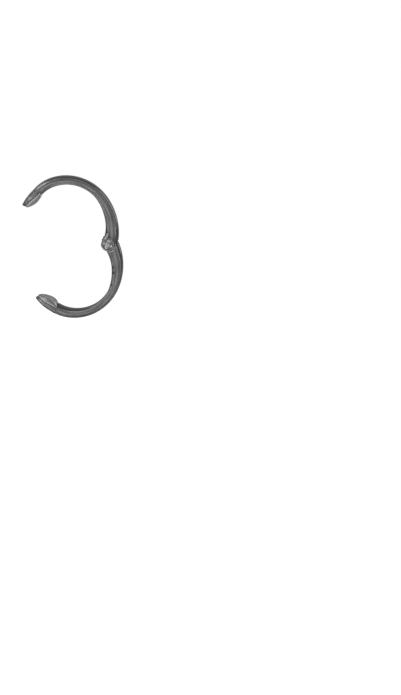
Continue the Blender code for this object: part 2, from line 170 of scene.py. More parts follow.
def ease(value, low, high):
    """0 below low, 1 above high and a smooth ramp between."""
    t = min(max((value - low) / (high - low), 0.0), 1.0)
    return t * t * (3 - 2 * t)


def claw_point(turn_share, radius, across):
    """A point in an arm's own frame: pin at zero, +X outwards, +Z along the arm."""
    angle = math.pi * turn_share
    return Vector((radius * math.cos(angle) - PIN_TO_RING_CENTRE, across, radius * math.sin(angle)))


def outer_radius(turn_share):
    """Ring radius of a claw's outer face."""
    rows = GRIP_SHARES if turn_share <= REBATE_SHARE else TIP_SHARES
    return RING_RADIUS + HINGE_FLARE * smooth_value(rows, turn_share, 1)


def joint_radius(turn_share):
    """Ring radius of the line where a pad meets its arm."""
    wall = ROOT_THICKNESS * GRIP_SHARES[-1][2] - REBATE_DEPTH
    return outer_radius(turn_share) - wall * smooth_value(TIP_SHARES, turn_share, 2)


def inner_radius(turn_share):
    """Ring radius of a claw's inner face, or of its joint with the pad."""
    if turn_share > REBATE_SHARE:
        return joint_radius(turn_share)
    return outer_radius(turn_share) - ROOT_THICKNESS * smooth_value(GRIP_SHARES, turn_share, 2)


def channel_depth(turn_share, outward_share):
    """How deep an arm's side channel is, at a place on a section."""
    start, full, fade, end = CHANNEL_PLACES
    along = ease(turn_share, start, full) * (1 - ease(turn_share, fade, end))
    inner, outer = CHANNEL_INNER_SHARE, CHANNEL_OUTER_SHARE
    from_inside = ease(outward_share, inner - CHANNEL_RAMP_SHARE, inner)
    from_outside = ease(outward_share, outer, outer + CHANNEL_RAMP_SHARE)
    return CHANNEL_DEPTH * along * from_inside * (1 - from_outside)


def rounded_point(angle, squareness):
    """How far out and how far to the side a section's point is, from -1 to 1."""
    power = 2 / squareness
    out, side = math.cos(angle), math.sin(angle)
    return math.copysign(abs(out) ** power, out), math.copysign(abs(side) ** power, side)


def rounded_section(turn_share, outer, inner, width, seam_side=0):
    """One rounded section of an arm, square to the ring, squarer on a seam's side."""
    middle = (outer + inner) / 2
    half_thickness = (outer - inner) / 2
    points = []
    for step in range(SECTION_POINTS):
        angle = 2 * math.pi * step / SECTION_POINTS
        on_seam = math.cos(angle) * seam_side > 0
        out, side = rounded_point(angle, SEAM_SQUARENESS if on_seam else SECTION_SQUARENESS)
        channel = math.copysign(channel_depth(turn_share, out), side) * abs(side)
        across = width / 2 * side - channel
        points.append(claw_point(turn_share, middle + half_thickness * out, across))
    return points


def rounded_end(place, end, half_size):
    """How far a piece is drawn in at a place near its rounded end."""
    near = max(1 - abs(end - place) * RING_HALF_TURN / TIP_ROUND, 0.0)
    return min(TIP_ROUND, TIP_ROUND_MOST * half_size) * (1 - math.sqrt(max(1 - near * near, 0.0)))


def places_along(start, end, count):
    """Places from start to end, closer together where the end is rounded over."""
    reach = TIP_ROUND / RING_HALF_TURN
    places = [start + (end - reach - start) * step / (count - 1) for step in range(count)]
    for step in range(1, TIP_ROUND_STEPS + 1):
        places.append(end - reach + reach * math.sin(math.pi / 2 * step / TIP_ROUND_STEPS))
    return places


def finished_mesh(shape, name):
    """The mesh of a shape, with its faces turned outwards."""
    bmesh.ops.recalc_face_normals(shape, faces=shape.faces)
    mesh = bpy.data.meshes.new(name)
    shape.to_mesh(mesh)
    shape.free()
    return mesh


def loft(sections, closed_ring=False):
    """A closed mesh through sections with equal numbers of points."""
    shape = bmesh.new()
    rings = [[shape.verts.new(point) for point in points] for points in sections]
    count = len(rings[0])
    pairs = list(zip(rings, rings[1:]))
    if closed_ring:
        pairs.append((rings[-1], rings[0]))
    else:
        shape.faces.new(rings[0])
        shape.faces.new(rings[-1][::-1])
    for near, far in pairs:
        for index in range(count):
            following = (index + 1) % count
            shape.faces.new((near[index], far[index], far[following], near[following]))
    return finished_mesh(shape, "loft")


def claw_mesh():
    """The whole claw, from past the hinge to the tip, before its hinge is cut."""
    sections = []
    first = GRIP_SHARES[0][0]
    for step in range(GRIP_SECTIONS):
        place = first + (REBATE_SHARE - first) * step / (GRIP_SECTIONS - 1)
        width = ARM_WIDTH * smooth_value(GRIP_SHARES, place, 3)
        sections.append(rounded_section(place, outer_radius(place), inner_radius(place), width))
    tip_start = REBATE_SHARE + PAD_GAP / RING_HALF_TURN
    for place in places_along(tip_start, ARM_END_SHARE, TIP_SECTIONS):
        outer, joint = outer_radius(place), joint_radius(place)
        width = ARM_WIDTH * smooth_value(TIP_SHARES, place, 3)
        inset = rounded_end(place, ARM_END_SHARE, min(outer - joint, width) / 2)
        sections.append(rounded_section(place, outer - inset, joint + inset, width - 2 * inset, -1))
    return loft(sections)


def circle(radius, place, centre=(0.0, 0.0)):
    """Points round the pin, or round another centre, at a place along it."""
    points = []
    for step in range(ROUND_STEPS):
        angle = 2 * math.pi * step / ROUND_STEPS
        points.append(Vector((centre[0] + radius * math.cos(angle), place,
                              centre[1] + radius * math.sin(angle))))
    return points


def bar(radius, low, high, centre=(0.0, 0.0), edge=0.0):
    """A round bar along the pin between two places, with chamfered ends if asked."""
    steps = [(radius, low), (radius, high)]
    if edge > 0:
        steps = [(radius - edge, low), (radius, low + edge),
                 (radius, high - edge), (radius - edge, high)]
    return loft([circle(ring_radius, place, centre) for ring_radius, place in steps])


def far_side_slab():
    """Everything beyond an arm's two stop faces, as a slab across the hinge."""
    half_gap = STOP_GAP / 2
    lean = CLOSING_SWING / 2
    along = Vector((math.cos(lean), math.sin(lean)))
    across = Vector((-math.sin(lean), math.cos(lean)))
    corner_x = (half_gap * math.cos(lean) - half_gap) / math.sin(lean)
    outer_reach = outer_radius(0.0) - PIN_TO_RING_CENTRE
    notch = along * (outer_reach - NOTCH_DEPTH) + across * half_gap
    notch_end = notch + (along + across) * (2 * NOTCH_DEPTH)
    far = 3 * RING_RADIUS
    outline = ((corner_x, half_gap), (-far, half_gap), (-far, -far), (far, -far),
               (far, notch_end.y), (notch_end.x, notch_end.y), (notch.x, notch.y))
    half_width = CHEEK_OUTER_FACE + OVERRUN
    return loft([[Vector((x, place, z)) for x, z in outline]
                 for place in (-half_width, half_width)])


def peg(radius, length):
    """A peg square to the ring, rooted in the pad and standing out of its back."""
    joint = joint_radius(PEG_SHARE)
    low = claw_point(PEG_SHARE, joint - PEG_ROOT, 0.0)
    high = claw_point(PEG_SHARE, joint + length, 0.0)
    shape = bmesh.new()
    bmesh.ops.create_cone(shape, cap_ends=True, segments=ROUND_STEPS // 2, radius1=radius,
                          radius2=radius, depth=(high - low).length)
    aim = (high - low).to_track_quat("Z", "Y").to_matrix().to_4x4()
    bmesh.ops.transform(shape, matrix=Matrix.Translation((low + high) / 2) @ aim,
                        verts=shape.verts)
    return finished_mesh(shape, "peg")


def side_rib(side):
    """A round-ended rib on a cheek, along the arm, its top sloping towards the pads."""
    sections = []
    for top in (False, True):
        outline = []
        for step in range(ROUND_STEPS // 2):
            angle = 2 * math.pi * (step + 0.5) / (ROUND_STEPS // 2)
            across = math.cos(angle) / 2
            end = RIB_END if math.sin(angle) > 0 else RIB_START
            place = CHEEK_OUTER_FACE + RIB_RISE * across if top else CHEEK_INNER_FACE
            outline.append(Vector((RIB_WIDTH * across - RIB_OFFSET, side * place,
                                   RIB_WIDTH / 2 * math.sin(angle) + end)))
        sections.append(outline)
    return loft(sections)


def worked(mesh, steps):
    """The mesh after each Boolean step, a pair of operation and tool mesh."""
    blank = bpy.data.objects.new("blank", mesh)
    bpy.context.scene.collection.objects.link(blank)
    tools = []
    for operation, tool_mesh in steps:
        tool = bpy.data.objects.new("tool", tool_mesh)
        bpy.context.scene.collection.objects.link(tool)
        cut = blank.modifiers.new("cut", "BOOLEAN")
        cut.operation = operation
        cut.object = tool
        tools.append(tool)
    graph = bpy.context.evaluated_depsgraph_get()
    result = bpy.data.meshes.new_from_object(blank.evaluated_get(graph), depsgraph=graph)
    for thing in [blank] + tools:
        bpy.data.objects.remove(thing, do_unlink=True)
    return result


def place_of(point, lowest, highest):
    """A point's share of the half turn, kept within limits, and its ring radius."""
    x, z = point.x + PIN_TO_RING_CENTRE, abs(point.z)
    return min(max(math.atan2(z, x) / math.pi, lowest), highest), math.hypot(x, z)


def mark_places(mesh):
    """Writes how far along the claw, and how far out in its section, each point is."""
    along = mesh.attributes.new("along", "FLOAT", "POINT")
    outward = mesh.attributes.new("outward", "FLOAT", "POINT")
    for vertex in mesh.vertices:
        share, radius = place_of(vertex.co, GRIP_SHARES[0][0], ARM_END_SHARE)
        outer, inner = outer_radius(share), inner_radius(share)
        along.data[vertex.index].value = share
        outward.data[vertex.index].value = 2 * (radius - inner) / (outer - inner) - 1


def hung(mesh, name, lean, body, node, material):
    """A piece put where its arm hangs, on its body, in place of its CAD node."""
    mesh.name = name
    mesh.shade_smooth()
    mesh.set_sharp_from_angle(angle=CREASE_ANGLE)
    mesh.materials.clear()
    mesh.materials.append(material)
    mesh.transform(Matrix.Translation(PIN_PLACE) @ Matrix.Rotation(lean - HANGING_TILT, 4, "Y"))
    piece = bpy.data.objects.new(name, mesh)
    bpy.context.scene.collection.objects.link(piece)
    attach(piece, body)
    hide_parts(node)


# How much each fine thing stands proud of the surface, against its ripples
SCRATCH_RELIEF = -0.15
STREAK_RELIEF = 0.35
LINE_RELIEF = 0.5


def feed(tree, node, inputs):
    """Gives a node's sockets their plain values, or links them to the outputs given."""
    for socket, given in inputs.items():
        if isinstance(given, bpy.types.NodeSocket):
            tree.links.new(given, node.inputs[socket])
        else:
            node.inputs[socket].default_value = given


def add_node(tree, kind, inputs, **settings):
    """A new shader node of a kind, with its settings made and its sockets fed."""
    node = tree.nodes.new("ShaderNode" + kind)
    for name, value in settings.items():
        setattr(node, name, value)
    feed(tree, node, inputs)
    return node


def maths(tree, operation, *values):
    """What a maths node makes of its values, taken in order."""
    return add_node(tree, "Math", dict(enumerate(values)), operation=operation).outputs["Value"]


def vector_maths(tree, operation, *values):
    """What a vector maths node makes of its values, taken in order."""
    node = add_node(tree, "VectorMath", dict(enumerate(values)), operation=operation)
    return node.outputs["Value" if operation == "LENGTH" else "Vector"]


def spread(tree, value, low=0.0, high=1.0, to_low=0.0, to_high=1.0, soft=False):
    """A value between low and high, made to run from to_low to to_high."""
    limits = {"From Min": low, "From Max": high, "To Min": to_low, "To Max": to_high}
    node = add_node(tree, "MapRange", {"Value": value, **limits})
    node.interpolation_type = "SMOOTHSTEP" if soft else "LINEAR"
    return node.outputs["Result"]


def noise(tree, place, scale, detail, roughness=0.5, distortion=0.0):
    """Cloudy noise of a scale over the places given."""
    look = {"Scale": scale, "Detail": detail, "Roughness": roughness, "Distortion": distortion}
    return add_node(tree, "TexNoise", {"Vector": place, **look}).outputs["Fac"]


def grey(tone):
    """A plain grey, as a colour."""
    return (tone, tone, tone, 1.0)


def ramp(tree, value, stops, run="LINEAR"):
    """The colour of a value on a ramp through stops, each a place and a colour."""
    node = add_node(tree, "ValToRGB", {"Fac": value})
    node.color_ramp.interpolation = run
    while len(node.color_ramp.elements) < len(stops):
        node.color_ramp.elements.new(1.0)
    for element, (place, colour) in zip(node.color_ramp.elements, stops):
        element.position = place
        element.color = colour
    return node.outputs["Color"]


def blended(tree, factor, first, second, blend="MIX"):
    """Two colours mixed, or multiplied, by a factor."""
    colours = {"Fac": factor, "Color1": first, "Color2": second}
    return add_node(tree, "MixRGB", colours, blend_type=blend).outputs["Color"]


def attribute(tree, name):
    """A value that was written on the mesh's points."""
    return add_node(tree, "Attribute", {}, attribute_name=name).outputs["Fac"]


def object_place(tree):
    """Where a point of the surface is in the hook's own frame, in metres."""
    return add_node(tree, "TexCoord", {}).outputs["Object"]


def bumped(tree, height, strength, distance):
    """The surface's normal, tilted by a height."""
    relief = {"Height": height, "Strength": strength, "Distance": distance}
    return add_node(tree, "Bump", relief).outputs["Normal"]


def start_group(name, inputs, outputs, vectors=()):
    """A node group with named sockets, all of them numbers but for the vectors."""
    group = bpy.data.node_groups.new(name, "ShaderNodeTree")
    for way, sockets in (("INPUT", inputs), ("OUTPUT", outputs)):
        for socket in sockets:
            kind = "NodeSocketVector" if socket in vectors else "NodeSocketFloat"
            group.interface.new_socket(socket, in_out=way, socket_type=kind)
    return group, group.nodes.new("NodeGroupInput").outputs, group.nodes.new("NodeGroupOutput")


def polished_group():
    """Polished moulding: faint flow lines and ripples, and fine handling scratches."""
    group, given, out = start_group("polished_moulding", ("Ripple Size", "Scratch Size"),
                                    ("Flow", "Scratches", "Height"))
    place = object_place(group)
    ripple = noise(group, place, given["Ripple Size"], detail=3.0, roughness=0.45, distortion=0.6)
    drawn = add_node(group, "Mapping", {
        "Vector": place, "Scale": (1.0, 0.12, 1.0), "Rotation": (0.5, 0.35, 0.9)})
    scratch = noise(group, drawn.outputs["Vector"], given["Scratch Size"],
                    detail=6.0, roughness=0.7)
    thin = spread(group, scratch, 0.60, 0.74)
    height = maths(group, "MULTIPLY_ADD", thin, SCRATCH_RELIEF, ripple)
    feed(group, out, {"Flow": ripple, "Scratches": thin, "Height": height})
    return group


polished_moulding = polished_group()

# Tones painted across a section, from inside to outside: painted highlights on the pale bands,
# painted shade on the dark bands and at the outer edge
PAINTED_BAND_TONES = ((-1.0, 0.50), (-0.84, 0.34), (-0.60, 0.85), (-0.40, 0.60), (-0.20, 0.48),
              (0.06, 0.80), (0.20, 0.70), (0.42, 0.30), (0.56, 0.32), (0.72, 0.62),
              (0.84, 0.24), (0.94, 0.14), (1.0, 0.36))
PAINTED_BAND_WANDER = 0.16
# Where the mould's ejector pins stood: share of the half turn, share outwards
EJECTOR_MARKS = ((0.18, -0.70), (0.225, -0.60), (0.3225, -0.675))
EJECTOR_RADIUS = 0.0012
# Shares of a mark's radius where it starts to fade and has faded
MARK_EDGE = (0.55, 1.25)
# About half the arm's thickness at the marks
MARK_SECTION = ROOT_THICKNESS / 3
# Places across the parting line where it starts to fade and has faded
LINE_EDGE = (0.00006, 0.00016)


def streak_group():
    """Long soft streaks, partly those the dyed melt leaves as it fills the claw and partly painted
    streaks of light and shade, painted bands across the section, and the claw's marks.

    Place is (share of the half turn, share outwards in the section, metres across).
    """
    group, given, out = start_group(
        "melt_and_light_streaks", ("Place", "Stretch", "Mark Radius"),
        ("Streak", "Wall", "Parting Line", "Ejector Marks"), vectors=("Place", "Stretch"))
    drawn = vector_maths(group, "MULTIPLY", given["Place"], given["Stretch"])
    streak = noise(group, drawn, 1.0, detail=3.0, roughness=0.55)
    parts = add_node(group, "SeparateXYZ", {"Vector": given["Place"]}).outputs
    # Painted light and shade: bands of tone across the section, wandering a little with the streaks
    wandering = maths(group, "MULTIPLY_ADD", streak, PAINTED_BAND_WANDER, parts["Y"])
    stops = [((share + 1) / 2, grey(tone)) for share, tone in PAINTED_BAND_TONES]
    wall = ramp(group, spread(group, wandering, low=-1.0), stops, "EASE")
    across = maths(group, "ABSOLUTE", parts["Z"])
    line = spread(group, across, *LINE_EDGE, to_low=1.0, to_high=0.0, soft=True)
    discs = []
    for along, outward in EJECTOR_MARKS:
        apart = vector_maths(group, "SUBTRACT", given["Place"], (along, outward, 0.0))
        sized = vector_maths(group, "MULTIPLY", apart, (RING_HALF_TURN, MARK_SECTION, 0.0))
        reach = vector_maths(group, "LENGTH", sized)
        radii = maths(group, "DIVIDE", reach, given["Mark Radius"])
        discs.append(spread(group, radii, *MARK_EDGE, to_low=1.0, to_high=0.0, soft=True))
    marks = discs[0]
    for disc in discs[1:]:
        marks = maths(group, "MAXIMUM", marks, disc)
    feed(group, out, {"Streak": spread(group, streak, 0.34, 0.66), "Wall": wall,
                      "Parting Line": line, "Ejector Marks": marks})
    return group


melt_and_light_streaks = streak_group()
HIGHLIGHT_BLUR = 0.00015


def hinge_highlight_group():
    """A mottled painted highlight on hinge edges: past a side face, and between two pin distances.
    """
    group, given, out = start_group("painted_hinge_highlight", ("Side Face", "Near", "Far"), ("Highlight",))
    place = object_place(group)
    from_pin = vector_maths(group, "SUBTRACT", place, PIN_PLACE)
    flat = vector_maths(group, "MULTIPLY", from_pin, (1.0, 0.0, 1.0))
    reach = vector_maths(group, "LENGTH", flat)
    parts = add_node(group, "SeparateXYZ", {"Vector": from_pin}).outputs
    side = maths(group, "ABSOLUTE", parts["Y"])
    mottle = noise(group, place, 620.0, detail=3.0)
    highlight = spread(group, mottle, 0.38, 0.58, to_low=0.3)
    for value, limit, ends in ((side, "Side Face", (0.0, 1.0)), (reach, "Near", (0.0, 1.0)),
                               (reach, "Far", (1.0, 0.0))):
        past = maths(group, "SUBTRACT", value, given[limit])
        kept = spread(group, past, -HIGHLIGHT_BLUR, HIGHLIGHT_BLUR, *ends, soft=True)
        highlight = maths(group, "MULTIPLY", highlight, kept)
    feed(group, out, {"Highlight": highlight})
    return group


painted_hinge_highlight = hinge_highlight_group()


def start_material(name, plain):
    """A material with plain values on its shader, and its node tree and shader."""
    material = bpy.data.materials.new(name)
    material.use_nodes = True
    tree = material.node_tree
    shader = tree.nodes["Principled BSDF"]
    feed(tree, shader, plain)
    return material, tree, shader


def polish_on(tree, ripple_size, scratch_size):
    """What the polished moulding group puts out at the sizes of one finish."""
    sizes = {"Ripple Size": ripple_size, "Scratch Size": scratch_size}
    return add_node(tree, "Group", sizes, node_tree=polished_moulding).outputs


def smoke_plastic(name, mark_shade, highlight_side, highlight_near, highlight_far):
    """Clear plastic with smoke-grey dye all through it, so thick places are darker. Its colour also
    holds painted light and shade: bands across each section, a dark edge and a highlight on the
    hinge.
    """
    material, tree, shader = start_material(name, {
        "IOR": 1.49, "Transmission Weight": 0.62, "Coat Weight": 1.0, "Coat IOR": 1.02,
        "Coat Tint": grey(0.72)})
    across = add_node(tree, "SeparateXYZ", {"Vector": object_place(tree)}).outputs["Y"]
    place = add_node(tree, "CombineXYZ", {
        "X": attribute(tree, "along"), "Y": attribute(tree, "outward"), "Z": across})
    streaks_and_bands = add_node(tree, "Group", {
        "Place": place.outputs["Vector"], "Stretch": (7.0, 2.2, 160.0),
        "Mark Radius": EJECTOR_RADIUS}, node_tree=melt_and_light_streaks).outputs
    polish = polish_on(tree, 120.0, 900.0)
    # The streaks' tone: partly flow lines in the dye, partly painted streaks of light and shade
    tint = ramp(tree, streaks_and_bands["Streak"], (
        (0.0, (0.34, 0.345, 0.345, 1.0)), (1.0, (0.94, 0.945, 0.94, 1.0))))
    # The painted bands of highlight and shade are laid over the streaked tone
    banded = blended(tree, 1.0, tint, streaks_and_bands["Wall"], "MULTIPLY")
    # Painted shade: the colour goes nearly black where the surface turns away from view, for the
    # dark outline at the clear plastic's edges
    facing = add_node(tree, "LayerWeight", {"Blend": 0.5}).outputs["Facing"]
    edge = spread(tree, facing, 0.08, 0.45, to_high=0.95, soft=True)
    edge_shaded = blended(tree, edge, banded, grey(0.001))
    marked = blended(tree, streaks_and_bands["Ejector Marks"], edge_shaded, grey(mark_shade), "MULTIPLY")
    hinge_paint = add_node(tree, "Group", {
        "Side Face": highlight_side, "Near": highlight_near, "Far": highlight_far}, node_tree=painted_hinge_highlight)
    rubbed = maths(tree, "MAXIMUM", polish["Scratches"], streaks_and_bands["Parting Line"])
    streaked = maths(tree, "MULTIPLY_ADD", streaks_and_bands["Streak"], STREAK_RELIEF, polish["Height"])
    raised = maths(tree, "MULTIPLY_ADD", streaks_and_bands["Parting Line"], LINE_RELIEF, streaked)
    # Painted highlight: the hinge's edges are painted pale, towards white
    feed(tree, shader, {
        "Base Color": blended(tree, hinge_paint.outputs["Highlight"], marked, grey(1.0)),
        "Roughness": spread(tree, rubbed, to_low=0.10, to_high=0.26),
        "Normal": bumped(tree, raised, strength=0.15, distance=0.0004)})
    dye = add_node(tree, "VolumeAbsorption", {"Color": (0.50, 0.51, 0.51, 1.0), "Density": 120.0})
    feed(tree, tree.nodes["Material Output"], {"Volume": dye.outputs["Volume"]})
    return material


# How far from the pin the upper arm's bosses and ribs are painted with a highlight
CHEEK_HIGHLIGHT_REACH = 0.0098

upper_plastic = smoke_plastic("upper_smoke_plastic", mark_shade=1.0, highlight_near=0.0,
                              highlight_side=ARM_WIDTH / 2 + HIGHLIGHT_BLUR, highlight_far=CHEEK_HIGHLIGHT_REACH)
bead_end = ARM_WIDTH / 2 - BEAD_EDGE
bead_place = (-BEAD_REACH, STOP_GAP / 2 + BEAD_RADIUS)
bead_clear_radius = BEAD_RADIUS + SEAT_RADIUS - KNUCKLE_RADIUS
counterbore_floor = CHEEK_OUTER_FACE - COUNTERBORE_DEPTH
past_boss = CHEEK_OUTER_FACE + OVERRUN
upper_arm_mesh = worked(claw_mesh(), [
    ("DIFFERENCE", far_side_slab()),
    ("UNION", bar(BEAD_RADIUS, -bead_end, bead_end, bead_place, BEAD_EDGE)),
    ("DIFFERENCE", peg(PEG_RADIUS + PEG_CLEARANCE, PEG_LENGTH + PEG_CLEARANCE)),
    ("UNION", bar(KNUCKLE_RADIUS, -CHEEK_OUTER_FACE, CHEEK_OUTER_FACE, edge=BOSS_EDGE)),
    ("UNION", side_rib(-1)),
    ("UNION", side_rib(1)),
    ("DIFFERENCE", bar(SEAT_RADIUS, -CHEEK_INNER_FACE, CHEEK_INNER_FACE)),
    ("DIFFERENCE", bar(bead_clear_radius, -CHEEK_INNER_FACE, CHEEK_INNER_FACE, bead_place)),
    ("DIFFERENCE", bar(BORE_RADIUS, -ARM_WIDTH, ARM_WIDTH)),
    ("DIFFERENCE", bar(COUNTERBORE_RADIUS, -past_boss, -counterbore_floor)),
    ("DIFFERENCE", bar(COUNTERBORE_RADIUS, counterbore_floor, past_boss)),
])
mark_places(upper_arm_mesh)
upper_lean = CLOSING_SWING / 2
hung(upper_arm_mesh, "upper_arm_moulding", upper_lean, "upper", "upper_arm",
     upper_plastic)

# Lower arm. The same claw turned over, moulded in the same clear smoke-grey
# plastic, with one tongue in place of the fork. The tongue goes between the upper
# arm's cheeks, and its shoulders are cut back round them as open seats.
TONGUE_FACE = 0.0025
SEAT_BEVEL_RUN = 0.0007
SEAT_BEVEL_DEPTH = 0.0004
# Where the seats' bevels are painted with a highlight: past a side face, between two pin distances
SEAT_HIGHLIGHT_FACE = 0.0050
SEAT_HIGHLIGHT_START = SEAT_RADIUS - 0.0001
SEAT_HIGHLIGHT_END = SEAT_RADIUS + 1.3 * SEAT_BEVEL_RUN


def turned_over(mesh):
    """An upper arm's mesh turned into a lower arm's: +Z becomes -Z."""
    mesh.transform(Matrix.Scale(-1, 4, (0, 0, 1)))
    mesh.flip_normals()
    return mesh


def cheek_seat(side):
    """The open seat that a cheek turns in, bevelled where it comes out of the arm."""
    start = ARM_WIDTH / 2 - SEAT_BEVEL_DEPTH
    end = CHEEK_OUTER_FACE + OVERRUN
    mouth = SEAT_RADIUS + (end - start) * SEAT_BEVEL_RUN / SEAT_BEVEL_DEPTH
    return loft([circle(radius, side * place) for radius, place in
                 ((SEAT_RADIUS, TONGUE_FACE), (SEAT_RADIUS, start), (mouth, end))])


lower_plastic = smoke_plastic("lower_smoke_plastic", mark_shade=0.10, highlight_side=SEAT_HIGHLIGHT_FACE,
                              highlight_near=SEAT_HIGHLIGHT_START, highlight_far=SEAT_HIGHLIGHT_END)
lower_arm_mesh = worked(turned_over(claw_mesh()), [
    ("DIFFERENCE", turned_over(far_side_slab())),
    ("UNION", turned_over(bar(BEAD_RADIUS, -bead_end, bead_end, bead_place, BEAD_EDGE))),
    ("DIFFERENCE", turned_over(peg(PEG_RADIUS + PEG_CLEARANCE, PEG_LENGTH + PEG_CLEARANCE))),
    ("UNION", bar(KNUCKLE_RADIUS, -CHEEK_INNER_FACE, CHEEK_INNER_FACE)),
    ("DIFFERENCE", cheek_seat(-1)),
    ("DIFFERENCE", cheek_seat(1)),
    ("DIFFERENCE", turned_over(bar(bead_clear_radius, -ARM_WIDTH, -TONGUE_FACE, bead_place))),
    ("DIFFERENCE", turned_over(bar(bead_clear_radius, TONGUE_FACE, ARM_WIDTH, bead_place))),
    ("DIFFERENCE", bar(BORE_RADIUS, -ARM_WIDTH, ARM_WIDTH)),
])
mark_places(lower_arm_mesh)
hung(lower_arm_mesh, "lower_arm_moulding", -upper_lean, "lower", "lower_arm",
     lower_plastic)

# Tip pads. Two leaf-shaped pads of softer, paler smoke plastic, each moulded with a
# flat and two low rims on its inner side, and with a peg on its back that is
# pressed into the arm.
PAD_THICKNESS = 0.0044
PAD_FLAT_DEPTH = 0.0003
PAD_FLAT_SHARE = 0.899
PAD_END_SHARE = 0.9970
PAD_SECTIONS = 44
PAD_POINTS = 96
PAD_SEAM = 0.00003
RIM_PLACE = -0.78
RIM_SPREAD = 0.12
RIM_RISE_SHARE = 0.05
# Places out from a pad's crown, at -1, to its back, at 1
BACK_EDGE_PLACES = (0.45, 0.68, 0.88)
# How strongly a pad's back edge is painted with a highlight
BACK_EDGE_HIGHLIGHT = 0.55
SEAM_SHADE_PLACES = (0.80, 0.97)
# Each row: share of the half turn, then shares of the pad's thickness and the
# arm's width
PAD_SHARES = (
    (0.836, 0.38, 1.04),
    (0.846, 0.58, 1.10),
    (0.867, 0.82, 1.11),
    (0.895, 1.00, 1.05),
    (0.922, 1.07, 0.92),
    (0.944, 1.02, 0.77),
    (0.964, 0.87, 0.60),
    (0.981, 0.66, 0.40),
    (0.997, 0.37, 0.18),
)


def pad_joint(turn_share):
    """Ring radius of a pad's back, close under its arm."""
    return joint_radius(min(turn_share, ARM_END_SHARE)) - PAD_SEAM


def pad_thickness(turn_share):
    """How thick a pad is from its back to its crown."""
    return PAD_THICKNESS * smooth_value(PAD_SHARES, turn_share, 1)


def rim_height(out):
    """1 on the raised rim round a pad's resting face, and 0 away from it."""
    rise = ease(out, RIM_PLACE - RIM_SPREAD, RIM_PLACE)
    return rise * (1 - ease(out, RIM_PLACE, RIM_PLACE + RIM_SPREAD))


def pad_section(turn_share, back, crown, width):
    """One section of a pad: square at its back, round at its crown, with two rims."""
    middle = (back + crown) / 2
    half_thickness = (back - crown) / 2
    points = []
    for step in range(PAD_POINTS):
        angle = 2 * math.pi * step / PAD_POINTS
        on_back = math.cos(angle) > 0
        out, side = rounded_point(angle, SEAM_SQUARENESS if on_back else SECTION_SQUARENESS)
        swell = 1 + RIM_RISE_SHARE * rim_height(out)
        radius = middle + half_thickness * out * swell
        points.append(claw_point(turn_share, radius, width / 2 * side))
    return points


def mark_rims(mesh):
    """Writes where a pad's rims and back edge get their painted highlight, and where its seam is.
    """
    rim_highlight = mesh.attributes.new("rim_highlight", "FLOAT", "POINT")
    seam = mesh.attributes.new("seam", "FLOAT", "POINT")
    low, middle, high = BACK_EDGE_PLACES
    for vertex in mesh.vertices:
        share, radius = place_of(vertex.co, REBATE_SHARE, PAD_END_SHARE)
        out = 2 * (radius - pad_joint(share)) / pad_thickness(share) + 1
        back_edge = ease(out, low, middle) * (1 - ease(out, middle, high))
        rim_highlight.data[vertex.index].value = max(rim_height(out), BACK_EDGE_HIGHLIGHT * back_edge)
        seam.data[vertex.index].value = ease(out, *SEAM_SHADE_PLACES)


def pad_mesh():
    """A pad in the upper arm's frame, with its flat and its peg."""
    sections = []
    start = REBATE_SHARE + PAD_SEAM / RING_HALF_TURN
    for place in places_along(start, PAD_END_SHARE, PAD_SECTIONS):
        back, thickness = pad_joint(place), pad_thickness(place)
        width = ARM_WIDTH * smooth_value(PAD_SHARES, place, 2)
        inset = rounded_end(place, PAD_END_SHARE, min(thickness, width) / 2)
        crown = back - thickness + inset
        sections.append(pad_section(place, back - inset, crown, width - 2 * inset))
    highest = joint_radius(PAD_FLAT_SHARE) - pad_thickness(PAD_FLAT_SHARE)
    flat = claw_point(PAD_FLAT_SHARE, highest + PAD_FLAT_DEPTH, 0.0)
    outline = ((0.0, -ARM_WIDTH), (0.0, ARM_WIDTH),
               (-PAD_THICKNESS, ARM_WIDTH), (-PAD_THICKNESS, -ARM_WIDTH))
    cut = loft([[Vector((x, place, z)) for x, z in outline] for place in (-ARM_WIDTH, ARM_WIDTH)])
    cut.transform(Matrix.Translation(flat) @ Matrix.Rotation(-math.pi * PAD_FLAT_SHARE, 4, "Y"))
    pad = worked(loft(sections), [("UNION", peg(PEG_RADIUS, PEG_LENGTH)), ("DIFFERENCE", cut)])
    mark_rims(pad)
    return pad


def soft_plastic(name):
    """Softer smoke plastic with a satin face and a fine moulded grain, its rims and back edge
    painted pale as a highlight.
    """
    material, tree, shader = start_material(name, {
        "IOR": 1.49, "Transmission Weight": 0.25, "Coat Weight": 1.0, "Coat IOR": 1.02,
        "Coat Tint": grey(0.85)})
    polish = polish_on(tree, 420.0, 1500.0)
    tint = ramp(tree, polish["Flow"], (
        (0.30, (0.168, 0.173, 0.173, 1.0)), (0.72, (0.240, 0.246, 0.245, 1.0))))
    # Painted highlight: the rims and the back edge are painted pale
    rubbed = blended(tree, attribute(tree, "rim_highlight"), tint, (0.88, 0.89, 0.89, 1.0))
    feed(tree, shader, {
        "Base Color": blended(tree, attribute(tree, "seam"), rubbed, grey(0.30)),
        "Roughness": spread(tree, polish["Scratches"], to_low=0.22, to_high=0.42),
        "Normal": bumped(tree, polish["Height"], strength=0.2, distance=0.0002)})
    return material


pad_plastic = soft_plastic("soft_pad_plastic")
hung(pad_mesh(), "upper_pad_moulding", upper_lean, "upper", "upper_tip_pad",
     pad_plastic)
hung(turned_over(pad_mesh()), "lower_pad_moulding", -upper_lean, "lower",
     "lower_tip_pad", pad_plastic)

# Slip washers. Two thin rings stamped from natural white slip plastic, laid on
# either side of the tongue before it goes into the fork, so that it doesn't rub.
THRUST_RADIUS = 0.0040
THRUST_THICKNESS = 0.0005
FACE_GAP = 0.0002
WASHER_EDGE = 0.00008


